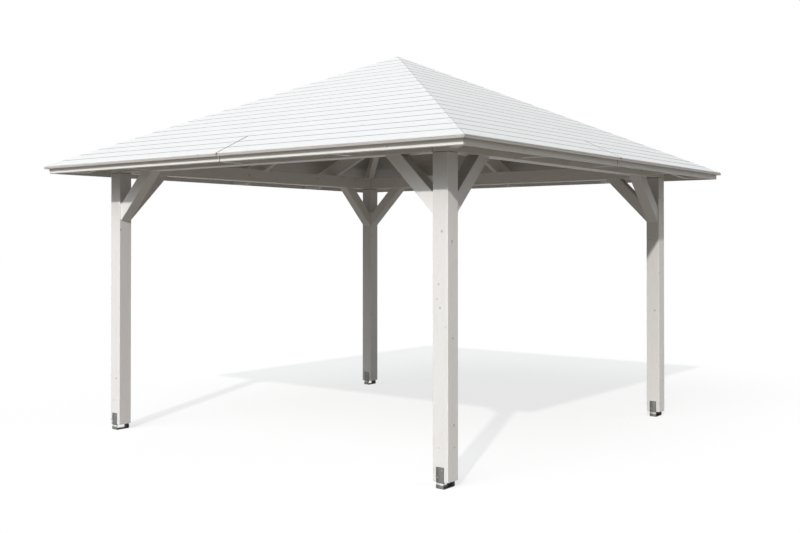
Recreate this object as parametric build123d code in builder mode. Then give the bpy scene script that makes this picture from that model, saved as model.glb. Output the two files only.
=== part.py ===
from build123d import *
import os
from math import cos, radians, sin, sqrt, tan

# Garden gazebo: an open, square timber frame under a boarded pyramid roof.
# Millimetres, +Z up. The origin is on the ground at the middle of the square.
# Front is -Y, back +Y, left -X and right +X.

# ---- Driving dimensions ------------------------------------------------------

# Posts and wall plates
post_spacing = 3380.0  # centre to centre, both ways
post_size = 120.0  # square section, as wide as the plates
post_length = 2140.0
plate_depth = 120.0
lap_joint = 2.5  # open joint at the shoulders of the half-laps
arris = 3.0  # chamfer on the planed edges of posts, plates and braces

# Knee braces, at 45 degrees in the plane of the plates
brace_reach = 408.0  # lower edge: along the plate and down the post
brace_depth = 98.0  # across the brace, in its own plane
brace_thickness = 98.0  # less than the posts, so it stands back from both faces

# Roof frame
roof_pitch = 25.2  # degrees
rafter_width = 45.0
rafter_depth = 136.5
jack_offset = 1067.0  # from the middle of a side to the middle of a jack rafter
hip_width = 60.0
king_flats = 155.0  # across the flats of the eight-sided king block
king_drop = 43.0  # how far it hangs below the common rafters
king_chamfer = 18.0

# Eaves and boarding
eave_overhang = 457.0  # post centre line to the upper edge of the boarding
board_thickness = 21.0
board_cover = 117.0  # width of one row of boards, up the slope
board_groove = 4.5  # legs of the V between two rows
fascia_reach = 420.0  # post centre line to the outer face of the fascia
fascia_thickness = 20.0
fascia_height = 64.0  # at its inner face
fascia_bevel = 4.0
fascia_joint = 5.0  # open butt joint at the middle of each side

# Post shoes, each bent from one flat steel strip
shoe_height = 45.0  # ground to the foot of the post
shoe_width = 60.0
shoe_thickness = 5.0
shoe_flange = 97.0  # up the face of the post
shoe_ledge = 22.0  # seat under the post, inward from the post's face
shoe_bend = 3.0  # inner radius at the post and at the shoulder
shoe_waist = 4.0  # inner radius of the fold under the ledge
shoe_waist_flat = 1.0  # straight stretch between the two bends of that fold
shoe_foot_bend = 5.0  # inner radius at the ground
anchor_hole = 14.0

# ---- Derived levels and lines ------------------------------------------------

slope = tan(radians(roof_pitch))
grid = post_spacing / 2
plate_inner = grid - post_size / 2
plate_outer = grid + post_size / 2
post_foot_z = shoe_height
plate_z = post_foot_z + post_length
plate_top_z = plate_z + plate_depth
rafter_plumb = rafter_depth / cos(radians(roof_pitch))
board_plumb = board_thickness / cos(radians(roof_pitch))
fascia_outer = grid + fascia_reach
fascia_inner = fascia_outer - fascia_thickness
eave_edge = grid + eave_overhang


def rafter_underside(run):
    # Height of the rafters' lower edge at a horizontal distance from the centre.
    return plate_top_z + (plate_inner - run) * slope


def rafter_top(run):
    # Height of the rafters' upper edge, which carries the boarding.
    return rafter_underside(run) + rafter_plumb


tail_z = rafter_top(fascia_inner) - fascia_height
tail_level_run = plate_inner + (plate_top_z - tail_z) / slope

SIDES = {"front": (0, -1), "back": (0, 1), "left": (-1, 0), "right": (1, 0)}
CORNERS = {
    "front_left": (-1, -1),
    "front_right": (1, -1),
    "back_left": (-1, 1),
    "back_right": (1, 1),
}


def section_plane(direction, shift=0.0):
    # Upright plane through the origin: local x runs outward, local y is up.
    outward = Vector(*direction, 0).normalized()
    return Plane(origin=(0, 0, 0), x_dir=outward, z_dir=outward.cross(Vector(0, 0, 1))).offset(shift)


def roof_plane(direction):
    # Underside of the boarding on one side, with its normal pointing up.
    return Plane(
        origin=(0, 0, rafter_top(0)),
        z_dir=(direction[0] * slope, direction[1] * slope, 1),
    )


def mitre_plane(direction, hand, shift=0.0):
    # Upright plane along one hip of a side, its normal pointing into the side.
    outward = Vector(*direction, 0)
    along = outward.cross(Vector(0, 0, 1)) * hand
    normal = (outward - along).normalized()
    return Plane(origin=normal * shift, z_dir=normal)


# Centre plane of the frame on each side: local x runs along it, local y is up.
FRAME_PLANES = {
    "front": Plane.XZ.offset(grid),
    "back": Plane.XZ.offset(-grid),
    "left": Plane.YZ.offset(-grid),
    "right": Plane.YZ.offset(grid),
}
# The ends of each side's frame, with the sign of their local x.
FRAME_ENDS = {
    "front": {"left": -1, "right": 1},
    "back": {"left": -1, "right": 1},
    "left": {"front": -1, "back": 1},
    "right": {"front": -1, "back": 1},
}


def save(part, name):
    part.label = name
    export_step(part, f"parts/{name}.step")


os.makedirs("parts", exist_ok=True)

# ---- Posts -------------------------------------------------------------------

for corner, (x_side, y_side) in CORNERS.items():
    with BuildPart() as post:
        with BuildSketch(Plane.XY.offset(post_foot_z)):
            with Locations((x_side * grid, y_side * grid)):
                Rectangle(post_size, post_size)
        extrude(amount=post_length)
        chamfer(post.edges(), arris)
    save(post.part, f"post_{corner}")

# ---- Post shoes --------------------------------------------------------------

# The strip's post-side surface: down the post's face, in under its foot, back
# out through a fold, down to the ground and across to the other face.
shoe_face = post_size / 2
fold_outer = shoe_waist + shoe_thickness
shoulder_z = post_foot_z - 2 * fold_outer - shoe_waist_flat
half_route = [
    (shoe_face, post_foot_z + shoe_flange),
    (shoe_face, post_foot_z),
    (shoe_face - shoe_ledge, post_foot_z),
    (shoe_face - shoe_ledge, shoulder_z),
    (shoe_face, shoulder_z),
    (shoe_face, shoe_thickness),
]
half_radii = [shoe_bend, fold_outer, fold_outer, shoe_bend, shoe_foot_bend]

for corner, (x_side, y_side) in CORNERS.items():
    with BuildPart() as shoe:
        with BuildSketch(Plane.YZ.offset(x_side * grid)) as strip:
            with BuildLine() as bend_line:
                FilletPolyline(
                    *[(y_side * grid + y, z) for y, z in half_route],
                    *[(y_side * grid - y, z) for y, z in reversed(half_route)],
                    radius=half_radii + half_radii[::-1],
                )
                offset(amount=shoe_thickness, side=Side.LEFT)
            make_face()
        extrude(amount=shoe_width / 2, both=True)
        with BuildSketch(Plane.XY):
            with Locations((x_side * grid, y_side * grid)):
                Circle(anchor_hole / 2)
        extrude(amount=shoe_thickness, mode=Mode.SUBTRACT)
    save(shoe.part, f"post_shoe_{corner}")

# ---- Wall plates, half-lapped over the posts ---------------------------------

# The front and back plates keep their upper half at the corners, the left and
# right plates their lower half.
LAP_CUTS = {
    "front": plate_z + plate_depth / 4,
    "back": plate_z + plate_depth / 4,
    "left": plate_z + plate_depth * 3 / 4,
    "right": plate_z + plate_depth * 3 / 4,
}

for side, frame_plane in FRAME_PLANES.items():
    with BuildPart() as plate:
        with BuildSketch(frame_plane):
            with Locations((0, plate_z + plate_depth / 2)):
                Rectangle(2 * plate_outer, plate_depth)
            with Locations((-grid, LAP_CUTS[side]), (grid, LAP_CUTS[side])):
                Rectangle(post_size + 2 * lap_joint, plate_depth / 2, mode=Mode.SUBTRACT)
        extrude(amount=post_size / 2, both=True)
        chamfer(plate.edges().filter_by(lambda edge: edge.length > plate_inner), arris)
    save(plate.part, f"plate_{side}")

# ---- Knee braces -------------------------------------------------------------

brace_inner_reach = brace_reach - brace_depth * sqrt(2)

for side, frame_plane in FRAME_PLANES.items():
    for end, hand in FRAME_ENDS[side].items():
        with BuildPart() as brace:
            with BuildSketch(frame_plane):
                with BuildLine():
                    Polyline(
                        (hand * plate_inner, plate_z - brace_reach),
                        (hand * (plate_inner - brace_reach), plate_z),
                        (hand * (plate_inner - brace_inner_reach), plate_z),
                        (hand * plate_inner, plate_z - brace_inner_reach),
                        close=True,
                    )
                make_face()
            extrude(amount=brace_thickness / 2, both=True)
            chamfer(brace.edges().filter_by(lambda edge: edge.length > brace_inner_reach), arris)
        save(brace.part, f"brace_{side}_{end}")

# ---- Rafters -----------------------------------------------------------------


def rafter_outline(inner_run):
    # Level-cut tail, heel and seat over the plate, and a plumb cut at the top.
    return [
        (fascia_inner, rafter_top(fascia_inner)),
        (fascia_inner, tail_z),
        (tail_level_run, tail_z),
        (plate_outer, rafter_underside(plate_outer)),
        (plate_outer, plate_top_z),
        (plate_inner, plate_top_z),
        (inner_run, rafter_underside(inner_run)),
        (inner_run, rafter_top(inner_run)),
    ]


for side, direction in SIDES.items():
    with BuildPart() as common:
        with BuildSketch(section_plane(direction)):
            with BuildLine():
                Polyline(*rafter_outline(king_flats / 2), close=True)
            make_face()
        extrude(amount=rafter_width / 2, both=True)
    save(common.part, f"common_rafter_{side}")

for side, direction in SIDES.items():
    with BuildPart() as jacks:
        with BuildSketch(section_plane(direction, jack_offset)):
            with BuildLine():
                Polyline(*rafter_outline(jack_offset), close=True)
            make_face()
        extrude(amount=rafter_width / 2, both=True)
        split(bisect_by=mitre_plane(direction, 1, hip_width / 2), keep=Keep.TOP)
        mirror(about=section_plane(direction))
    save(jacks.part, f"jack_rafters_{side}")

# Each hip rafter is backed to both roof planes, notched over the corner of the
# plates and pointed to fill the corner of the fascia.
for corner, direction in CORNERS.items():
    with BuildPart() as hip:
        with BuildSketch(section_plane(direction)):
            with BuildLine():
                Polyline(
                    (fascia_inner * sqrt(2), rafter_top(fascia_inner)),
                    (fascia_inner * sqrt(2), tail_z),
                    (tail_level_run * sqrt(2), tail_z),
                    (king_flats / 2, rafter_underside(king_flats / 2 / sqrt(2))),
                    (king_flats / 2, rafter_top(king_flats / 2 / sqrt(2))),
                    close=True,
                )
            make_face()
        extrude(amount=hip_width / 2, both=True)
        with BuildSketch(Plane.XY.offset(plate_z)):
            Rectangle(2 * plate_outer, 2 * plate_outer)
        extrude(amount=plate_depth, mode=Mode.SUBTRACT)
        with BuildSketch(Plane.XY.offset(plate_z)):
            Rectangle(2 * fascia_inner, 2 * fascia_inner)
        extrude(amount=rafter_top(0) - plate_z, mode=Mode.INTERSECT)
        split(bisect_by=roof_plane((direction[0], 0)), keep=Keep.BOTTOM)
        split(bisect_by=roof_plane((0, direction[1])), keep=Keep.BOTTOM)
    save(hip.part, f"hip_rafter_{corner}")

# ---- King block --------------------------------------------------------------

king_foot_z = rafter_underside(king_flats / 2) - king_drop
with BuildPart() as king:
    with BuildSketch(Plane.XY.offset(king_foot_z)):
        RegularPolygon(king_flats / 2, 8, major_radius=False, rotation=22.5)
    extrude(amount=rafter_top(0) - king_foot_z)
    chamfer(king.edges().group_by(Axis.Z)[0], king_chamfer)
    for direction in SIDES.values():
        split(bisect_by=roof_plane(direction), keep=Keep.BOTTOM)
save(king.part, "king_block")

# ---- Fascia ------------------------------------------------------------------

for side, direction in SIDES.items():
    with BuildPart() as fascia:
        with BuildSketch(section_plane(direction, fascia_joint / 2)):
            with BuildLine():
                Polyline(
                    (fascia_inner, rafter_top(fascia_inner)),
                    (fascia_outer, rafter_top(fascia_outer)),
                    (fascia_outer, tail_z + fascia_bevel),
                    (fascia_outer - fascia_bevel, tail_z),
                    (fascia_inner, tail_z),
                    close=True,
                )
            make_face()
        extrude(amount=fascia_outer)
        split(bisect_by=mitre_plane(direction, 1), keep=Keep.TOP)
        mirror(about=section_plane(direction))
    save(fascia.part, f"fascia_{side}")

# ---- Roof boarding -----------------------------------------------------------


def board_point(up, depth):
    # Place in a side's section: up the slope from the eave, down from the boards' face.
    run = eave_edge - up * cos(radians(roof_pitch)) - depth * sin(radians(roof_pitch))
    level = rafter_top(eave_edge) + board_plumb
    level += up * sin(radians(roof_pitch)) - depth * cos(radians(roof_pitch))
    return (run, level)


slope_length = eave_edge / cos(radians(roof_pitch))
board_joints = int((slope_length - board_groove) / board_cover)
grooves = []
for row in range(1, board_joints + 1):
    joint = row * board_cover
    grooves += [
        board_point(joint - board_groove, 0),
        board_point(joint, board_groove),
        board_point(joint + board_groove, 0),
    ]

# One mitred slab for each side, square to the slope at the eave and grooved
# along the joints between its rows of boards.
for side, direction in SIDES.items():
    with BuildPart() as boarding:
        with BuildSketch(section_plane(direction)):
            with BuildLine():
                Polyline(
                    (0, rafter_top(0)),
                    board_point(0, board_thickness),
                    board_point(0, 0),
                    *grooves,
                    (0, rafter_top(0) + board_plumb),
                    close=True,
                )
            make_face()
        extrude(amount=eave_edge, both=True)
        for hand in (-1, 1):
            split(bisect_by=mitre_plane(direction, hand), keep=Keep.TOP)
    save(boarding.part, f"roof_boarding_{side}")
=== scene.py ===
"""Garden gazebo: finishes, roof boards, fixings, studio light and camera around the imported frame."""

from __future__ import annotations

import logging
import math
from dataclasses import dataclass, field
from enum import Enum

import bmesh
import bpy
from bpy.types import ID, Material, Mesh, Node, NodeSocket, NodeTree, Object
from mathutils import Euler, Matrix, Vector


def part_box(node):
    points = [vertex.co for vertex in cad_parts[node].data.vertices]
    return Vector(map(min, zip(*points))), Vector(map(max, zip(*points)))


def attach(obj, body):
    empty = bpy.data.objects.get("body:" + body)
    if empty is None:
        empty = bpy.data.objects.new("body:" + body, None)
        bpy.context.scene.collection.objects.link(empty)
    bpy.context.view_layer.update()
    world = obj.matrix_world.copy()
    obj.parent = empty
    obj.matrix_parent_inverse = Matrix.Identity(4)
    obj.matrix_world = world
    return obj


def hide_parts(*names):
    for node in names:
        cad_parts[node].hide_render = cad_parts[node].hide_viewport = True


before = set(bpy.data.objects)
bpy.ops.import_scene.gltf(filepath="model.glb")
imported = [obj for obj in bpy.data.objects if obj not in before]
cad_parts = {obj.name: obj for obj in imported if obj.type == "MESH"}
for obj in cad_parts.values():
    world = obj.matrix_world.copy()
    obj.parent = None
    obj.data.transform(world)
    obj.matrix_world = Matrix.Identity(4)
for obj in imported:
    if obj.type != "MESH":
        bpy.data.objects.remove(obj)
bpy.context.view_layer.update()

LOG = logging.getLogger("gazebo")
BODY = "root"
MM = 0.001
UP = Vector((0, 0, 1))

# What a node's input is linked from: a socket, or a node that stands for its first output.
Source = Node | NodeSocket

# The node types that come up again and again.
MATH = "ShaderNodeMath"
VECTOR_MATH = "ShaderNodeVectorMath"
MAP_RANGE = "ShaderNodeMapRange"
MIX = "ShaderNodeMix"
NOISE = "ShaderNodeTexNoise"
COMBINE = "ShaderNodeCombineXYZ"
SEPARATE = "ShaderNodeSeparateXYZ"
READ = "GeometryNodeInputNamedAttribute"
STORE = "GeometryNodeStoreNamedAttribute"
SET_MATERIAL = "GeometryNodeSetMaterial"


# ---- Small helpers ----


def linear(hex_code: str) -> tuple[float, float, float, float]:
    """Turns an sRGB hex colour into linear light.

    Args:
        hex_code: six hex digits, with or without a leading hash.

    Returns:
        Red, green, blue and an alpha of 1.
    """
    digits = hex_code.lstrip("#")
    channels = [int(digits[i : i + 2], 16) / 255 for i in (0, 2, 4)]
    low = 0.04045
    return (*(c / 12.92 if c <= low else ((c + 0.055) / 1.055) ** 2.4 for c in channels), 1.0)


def add(tree: NodeTree, kind: str, inputs: dict | tuple = (), **settings: object) -> Node:
    """Adds a node, sets its properties, and fills or links its inputs.

    Args:
        tree: the node tree that gets the node.
        kind: Blender's name of the node's type.
        inputs: a value or a Source for each input, in order or by its name or index.
        settings: the node's own properties.

    Returns:
        The new node.
    """
    node = tree.nodes.new(kind)
    for name, value in settings.items():
        setattr(node, name, value)
    for name, value in inputs.items() if isinstance(inputs, dict) else enumerate(inputs):
        if isinstance(value, Node):
            value = value.outputs[0]
        if isinstance(value, NodeSocket):
            tree.links.new(value, node.inputs[name])
        else:
            node.inputs[name].default_value = value
    return node


def new_material(name: str) -> tuple[Material, NodeTree]:
    """Makes an empty node material.

    Args:
        name: the finish and the piece it is for.

    Returns:
        The material and its emptied tree.
    """
    material = bpy.data.materials.new(name)
    material.use_nodes = True
    material.node_tree.nodes.clear()
    return material, material.node_tree


def new_object(name: str, data: ID) -> Object:
    """Links a mesh, lamp or camera into the scene as an object at the origin.

    Args:
        name: the object's name.
        data: its mesh, lamp or camera.

    Returns:
        The new object.
    """
    item = bpy.data.objects.new(name, data)
    bpy.context.scene.collection.objects.link(item)
    return item


def closed_mesh(name: str, work: bmesh.types.BMesh) -> Mesh:
    """Keeps a finished shape as a mesh with its faces outwards, and frees the shape.

    Args:
        name: the mesh's name.
        work: the shape.

    Returns:
        The mesh.
    """
    bmesh.ops.recalc_face_normals(work, faces=work.faces)
    mesh = bpy.data.meshes.new(name)
    work.to_mesh(mesh)
    work.free()
    return mesh


def dress(node: str, material: Material) -> None:
    """Gives a CAD node one finish.

    Args:
        node: the node's name.
        material: its finish.
    """
    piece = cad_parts[node]
    if not piece.material_slots:
        piece.data.materials.append(material)
    for slot in piece.material_slots:
        slot.material = material
    LOG.info("%s: %s", node, material.name)


def declare(piece: Object, replaced: tuple[str, ...] = ()) -> None:
    """Ties a piece to the frame.

    Args:
        piece: a finished mesh object.
        replaced: the CAD nodes that it stands for.
    """
    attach(piece, BODY)
    if replaced:
        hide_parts(*replaced)
    LOG.info("%s: %d faces", piece.name, len(piece.data.polygons))


# ---- Named options ----


class Side(Enum):
    """The four sides of the square, with the turn from the front side in quarter turns."""

    FRONT = 0
    RIGHT = 1
    BACK = 2
    LEFT = 3

    @property
    def label(self) -> str:
        """The side's name in the frame's node names."""
        return self.name.lower()

    @property
    def turn(self) -> float:
        """Angle from the front side, in radians."""
        return self.value * math.pi / 2

    @property
    def outward(self) -> Vector:
        """Unit vector that points away from the gazebo on this side."""
        return Vector((math.sin(self.turn), -math.cos(self.turn), 0.0))

    @property
    def along(self) -> Vector:
        """Unit vector along this side, to the right when seen from outside."""
        return Vector((math.cos(self.turn), math.sin(self.turn), 0.0))


class Corner(Enum):
    """The four corners, with the signs of their X and Y."""

    FRONT_LEFT = (-1, -1)
    FRONT_RIGHT = (1, -1)
    BACK_LEFT = (-1, 1)
    BACK_RIGHT = (1, 1)

    @property
    def label(self) -> str:
        """The corner's name in the frame's node names."""
        return self.name.lower()

    @property
    def outward(self) -> Vector:
        """Unit vector that points away from the middle at this corner."""
        return Vector((*self.value, 0)).normalized()


# ---- Finishes ----


@dataclass(frozen=True)
class Seam:
    """A cut across a timber that shows as a dark line: partly end grain that drank the glaze, partly
    painted shade of the joint.

    The cut stands square to one direction, at the same distance on both sides of the
    middle of the gazebo, and the dark runs a little way onto the faces beside it.
    """

    across: Vector
    at: float
    reach: float
    low: float = 0.0
    high: float = 4.0


@dataclass(frozen=True)
class GlazedSpruce:
    """Planed spruce under a thin white glaze.

    The glaze evens the tone to a warm white. The annual rings still show through as
    faint lines along the piece, knots as small grey-brown spots with the rings bent
    round them, and in glued-laminated pieces the glue lines as hairlines.
    """

    name: str
    face_hex: str = "#F1EFED"
    ring_hex: str = "#E5E1DB"
    knot_hex: str = "#A79F96"
    # The seams' dark is the end grain's own tone at cut ends, and painted shade at the post heads and
    # plate laps.
    seam_hex: str = "#5F5A53"
    # Real spruce rings are 2 to 4 mm apart; they are drawn 3 times as coarse to show.
    ring_mm: float = 10.0
    ring_share: float = 0.18
    # The rings wander slowly along the grain and faster across it, per metre.
    wander: tuple[float, float, float] = (0.9, 9.0, 9.0)
    knot_mm: float = 11.0
    knot_apart_mm: float = 110.0
    knot_share: float = 0.6
    # A knot's dark core, its rim and the bent rings round it, in knot sizes.
    knot_core: float = 0.35
    knot_rim: float = 0.95
    knot_halo: float = 3.2
    knot_bend: float = 0.12
    lamella_mm: float = 0.0
    # Each lamella shows another stretch of the grain, this far on.
    lamella_jump: tuple[float, float, float] = (1.37, 0.61, 0.0)
    glue_line_mm: float = 0.6
    glue_level: float = 0.86
    fibre_mm: float = 1.6
    fibre_slender: float = 60.0
    fibre_share: float = 0.45
    fibre_relief: float = 0.6
    cloud_low: float = 0.975
    cloud_high: float = 1.02
    # How steeply a face looks up where the painted shade on upward faces begins, and where it is
    # whole.
    dust_begins: float = 0.45
    dust_whole: float = 0.6
    roughness: float = 0.52
    duller: float = 0.08
    glossier: float = 0.05
    refraction: float = 1.46
    relief_mm: float = 0.25
    relief_strength: float = 0.6
    attribute: str = ""

    def material(
        self,
        label: str,
        along: Vector,
        glue_across: Vector | None = None,
        glue_at: float = 0.0,
        seams: tuple[Seam, ...] = (),
        top_shade: float = 0.0,
    ) -> Material:
        """Builds the finish for pieces whose grain runs one way.

        Args:
            label: what the finish is for, added to its name.
            along: direction of the grain in the frame.
            glue_across: direction across the lamellae, in a glued-laminated piece.
            glue_at: distance of one glue line from the frame's origin, in metres.
            seams: the dark lines at its cut ends.
            top_shade: how far painted shade darkens the faces that look up, from 0 to 1.

        Returns:
            The material.
        """
        material, tree = new_material(f"{self.name}, {label}")
        if self.attribute:
            raw = add(tree, "ShaderNodeAttribute", attribute_name=self.attribute).outputs["Vector"]
        else:
            raw = add(tree, "ShaderNodeTexCoord").outputs["Object"]
        turn = along.rotation_difference(Vector((1, 0, 0))).to_euler()
        vector = add(tree, "ShaderNodeMapping", {"Vector": raw, "Rotation": turn})
        glue = None
        if glue_across is not None:
            vector, glue = self._lamellae(tree, raw, vector, glue_across, glue_at)
        knot, rings, fibre, cloud = self._figure(tree, vector)

        streak = add(tree, MATH, (fibre, self.fibre_share, rings), operation="MULTIPLY_ADD")
        share = add(tree, MATH, (streak, self.ring_share), operation="MULTIPLY")
        tones = {"Factor": share, "A": linear(self.face_hex), "B": linear(self.ring_hex)}
        base = add(tree, MIX, tones, data_type="RGBA").outputs["Result"]
        depth = add(tree, MATH, (knot, self.knot_share), operation="MULTIPLY")
        tones = {"Factor": depth, "A": base, "B": linear(self.knot_hex)}
        base = add(tree, MIX, tones, data_type="RGBA").outputs["Result"]
        for seam in seams:
            base = self._darken(tree, raw, base, seam)
        soft = {"Value": cloud, "To Min": self.cloud_low, "To Max": self.cloud_high}
        level = add(tree, MAP_RANGE, soft)
        if glue is not None:
            level = add(tree, MATH, (level, glue), operation="MULTIPLY")
        # Painted shade: the faces that look up are made darker.
        if top_shade:
            level = self._dust(tree, level, top_shade)
        colour = add(tree, VECTOR_MATH, {0: base, "Scale": level}, operation="SCALE")

        relief = add(tree, MATH, (fibre, self.fibre_relief, rings), operation="MULTIPLY_ADD")
        height = {"Height": relief, "Distance": self.relief_mm * MM}
        bump = add(tree, "ShaderNodeBump", height | {"Strength": self.relief_strength})
        dull, glossy = self.roughness + self.duller, self.roughness - self.glossier
        gloss = add(tree, MAP_RANGE, {"Value": fibre, "To Min": glossy, "To Max": dull})
        look = {"Base Color": colour, "Roughness": gloss, "Normal": bump, "IOR": self.refraction}
        shader = add(tree, "ShaderNodeBsdfPrincipled", look)
        add(tree, "ShaderNodeOutputMaterial", {"Surface": shader})
        return material

    def _figure(self, tree: NodeTree, vector: Source) -> tuple[Node, Node, Node, Node]:
        """Draws what shows in the wood: knots, the rings bent round them, and fibres.

        Args:
            tree: the material's tree.
            vector: the coordinates along the grain.

        Returns:
            The levels of the knots, the rings, the fine fibres and a slow cloud.
        """
        apart = {"Vector": vector, "Scale": 1 / (self.knot_apart_mm * MM)}
        knots = add(tree, "ShaderNodeTexVoronoi", apart)
        reach = self.knot_mm / self.knot_apart_mm
        spot = {"Value": knots, "From Min": reach * self.knot_rim, "From Max": reach * self.knot_core}
        knot = add(tree, MAP_RANGE, spot, interpolation_type="SMOOTHSTEP")
        around = {"Value": knots, "From Min": reach * self.knot_halo, "From Max": 0.0}
        halo = add(tree, MAP_RANGE, around, interpolation_type="SMOOTHSTEP")

        slow = add(tree, VECTOR_MATH, (vector, self.wander), operation="MULTIPLY")
        wander = {"Vector": slow, "Scale": 1.0, "Detail": 2.0, "Roughness": 0.4}
        growth = add(tree, NOISE, wander)
        bent = add(tree, MATH, (halo, self.knot_bend, growth), operation="MULTIPLY_ADD")
        turns = math.tau / (self.wander[1] * self.ring_mm * MM)
        phase = add(tree, MATH, (bent, turns), operation="MULTIPLY")
        wave = add(tree, MATH, (phase,), operation="SINE")
        crest = {"Value": wave, "From Min": 0.1, "From Max": 1.0}
        rings = add(tree, MAP_RANGE, crest, interpolation_type="SMOOTHSTEP")

        fine = 1 / (self.fibre_mm * MM)
        slender = (fine / self.fibre_slender, fine, fine)
        drawn = add(tree, VECTOR_MATH, (vector, slender), operation="MULTIPLY")
        fibre = add(tree, NOISE, {"Vector": drawn, "Scale": 1.0, "Detail": 3.0})
        cloud = add(tree, NOISE, {"Vector": slow, "Scale": 0.35, "Detail": 2.0})
        return knot, rings, fibre, cloud

    def _dust(self, tree: NodeTree, level: Source, top_shade: float) -> Node:
        """Darkens the faces that look up, as painted shade for faces turned into a shaded corner.

        Args:
            tree: the material's tree.
            level: the brightness so far.
            top_shade: how far the painted shade darkens them, from 0 to 1.

        Returns:
            The brightness with the painted shade in it.
        """
        facing = add(tree, SEPARATE, (add(tree, "ShaderNodeTexCoord").outputs["Normal"],))
        steep = {"From Min": self.dust_begins, "From Max": self.dust_whole}
        upward = {"Value": facing.outputs["Z"], "To Min": 1.0, "To Max": 1.0 - top_shade}
        kept = add(tree, MAP_RANGE, upward | steep)
        return add(tree, MATH, (level, kept), operation="MULTIPLY")

    def _darken(self, tree: NodeTree, raw: Source, base: Source, seam: Seam) -> NodeSocket:
        """Darkens the colour along one seam.

        Args:
            tree: the material's tree.
            raw: the coordinates in the frame.
            base: the colour so far.
            seam: where the dark shows.

        Returns:
            The colour with the seam in it.
        """
        span = add(tree, VECTOR_MATH, (raw, seam.across), operation="DOT_PRODUCT")
        apart = add(tree, MATH, (span.outputs["Value"],), operation="ABSOLUTE")
        beside = add(tree, MATH, (apart, seam.at, seam.reach), operation="COMPARE")
        height = add(tree, SEPARATE, (raw,)).outputs["Z"]
        middle, half = (seam.low + seam.high) / 2, (seam.high - seam.low) / 2
        within = add(tree, MATH, (height, middle, half), operation="COMPARE")
        mask = add(tree, MATH, (beside, within), operation="MULTIPLY")
        tones = {"Factor": mask, "A": base, "B": linear(self.seam_hex)}
        return add(tree, MIX, tones, data_type="RGBA").outputs["Result"]

    def _lamellae(
        self, tree: NodeTree, raw: Source, vector: Source, across: Vector, line_at: float
    ) -> tuple[Node, Node]:
        """Parts the grain into lamellae and draws the hairline between them.

        Args:
            tree: the material's tree.
            raw: the coordinates in the frame.
            vector: the coordinates along the grain.
            across: direction across the lamellae.
            line_at: distance of one glue line from the origin, in metres.

        Returns:
            The grain coordinates, shifted for each lamella, and the hairline's level.
        """
        pitch = self.lamella_mm * MM
        span = add(tree, VECTOR_MATH, (raw, across), operation="DOT_PRODUCT")
        size = add(tree, MATH, (span.outputs["Value"],), operation="ABSOLUTE")
        steps = add(tree, MATH, (size, 1 / pitch, -line_at / pitch), operation="MULTIPLY_ADD")
        number = add(tree, MATH, (steps,), operation="FLOOR")
        shift = add(tree, COMBINE, {"X": number, "Y": number})
        on = (shift, self.lamella_jump, vector)
        jump = add(tree, VECTOR_MATH, on, operation="MULTIPLY_ADD")
        to_line = add(tree, MATH, (steps, 0.5), operation="PINGPONG")
        hairline = self.glue_line_mm / self.lamella_mm
        line = {"Value": to_line, "From Max": hairline, "To Min": self.glue_level, "To Max": 1.0}
        return jump, add(tree, MAP_RANGE, line)


@dataclass(frozen=True)
class JointShade:
    """A soft, matt grey wood tone with a faint cloud: painted shade in the V-joints and on the hip
    flanks, and the own tone of weathered end grain and glazed-over nail heads.
    """

    name: str
    base_hex: str = "#86888B"
    cloud_scale: float = 9.0
    cloud_low: float = 0.9
    cloud_high: float = 1.1
    roughness: float = 0.7

    def material(self) -> Material:
        """Builds the finish, with a soft cloud in its tone."""
        material, tree = new_material(self.name)
        place = add(tree, "ShaderNodeTexCoord").outputs["Object"]
        cloud = add(tree, NOISE, {"Vector": place, "Scale": self.cloud_scale, "Detail": 3.0})
        soft = {"Value": cloud, "To Min": self.cloud_low, "To Max": self.cloud_high}
        level = add(tree, MAP_RANGE, soft)
        tone = {0: linear(self.base_hex)[:3], "Scale": level}
        colour = add(tree, VECTOR_MATH, tone, operation="SCALE")
        look = {"Base Color": colour, "Roughness": self.roughness}
        shader = add(tree, "ShaderNodeBsdfPrincipled", look)
        add(tree, "ShaderNodeOutputMaterial", {"Surface": shader})
        return material


@dataclass(frozen=True)
class GalvanisedSteel:
    """Hot-dip galvanised steel, weathered dull: a grey with a faint spangle of zinc crystals."""

    name: str
    base_hex: str = "#7F807E"
    # Zinc crystals are 5 to 15 mm across on dipped strip.
    spangle_mm: float = 7.0
    spangle_share: float = 0.4
    stain_scale: float = 45.0
    tone_low: float = 0.78
    tone_high: float = 1.16
    roughness: float = 0.5
    duller: float = 0.12
    glossier: float = 0.08
    metallic: float = 0.75
    relief_mm: float = 0.2
    relief_strength: float = 0.5

    def material(self) -> Material:
        """Builds the finish."""
        material, tree = new_material(self.name)
        place = add(tree, "ShaderNodeTexCoord").outputs["Object"]
        size = {"Vector": place, "Scale": 1 / (self.spangle_mm * MM)}
        crystals = add(tree, "ShaderNodeTexVoronoi", size).outputs["Color"]
        tone = add(tree, "ShaderNodeSeparateColor", {"Color": crystals})
        stain = add(tree, NOISE, {"Vector": place, "Scale": self.stain_scale, "Detail": 4.0})
        mixed = add(tree, MATH, (tone, self.spangle_share, stain), operation="MULTIPLY_ADD")
        whole = {"Value": mixed, "From Max": 1 + self.spangle_share}
        tones = whole | {"To Min": self.tone_low, "To Max": self.tone_high}
        level = add(tree, MAP_RANGE, tones)
        shaded = {0: linear(self.base_hex)[:3], "Scale": level}
        colour = add(tree, VECTOR_MATH, shaded, operation="SCALE")
        dull, glossy = self.roughness + self.duller, self.roughness - self.glossier
        gloss = add(tree, MAP_RANGE, whole | {"To Min": glossy, "To Max": dull})
        height = {"Height": stain, "Distance": self.relief_mm * MM}
        bump = add(tree, "ShaderNodeBump", height | {"Strength": self.relief_strength})
        look = {"Base Color": colour, "Roughness": gloss, "Normal": bump}
        shader = add(tree, "ShaderNodeBsdfPrincipled", look | {"Metallic": self.metallic})
        add(tree, "ShaderNodeOutputMaterial", {"Surface": shader})
        return material


# ---- Geometry Nodes ----


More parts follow.
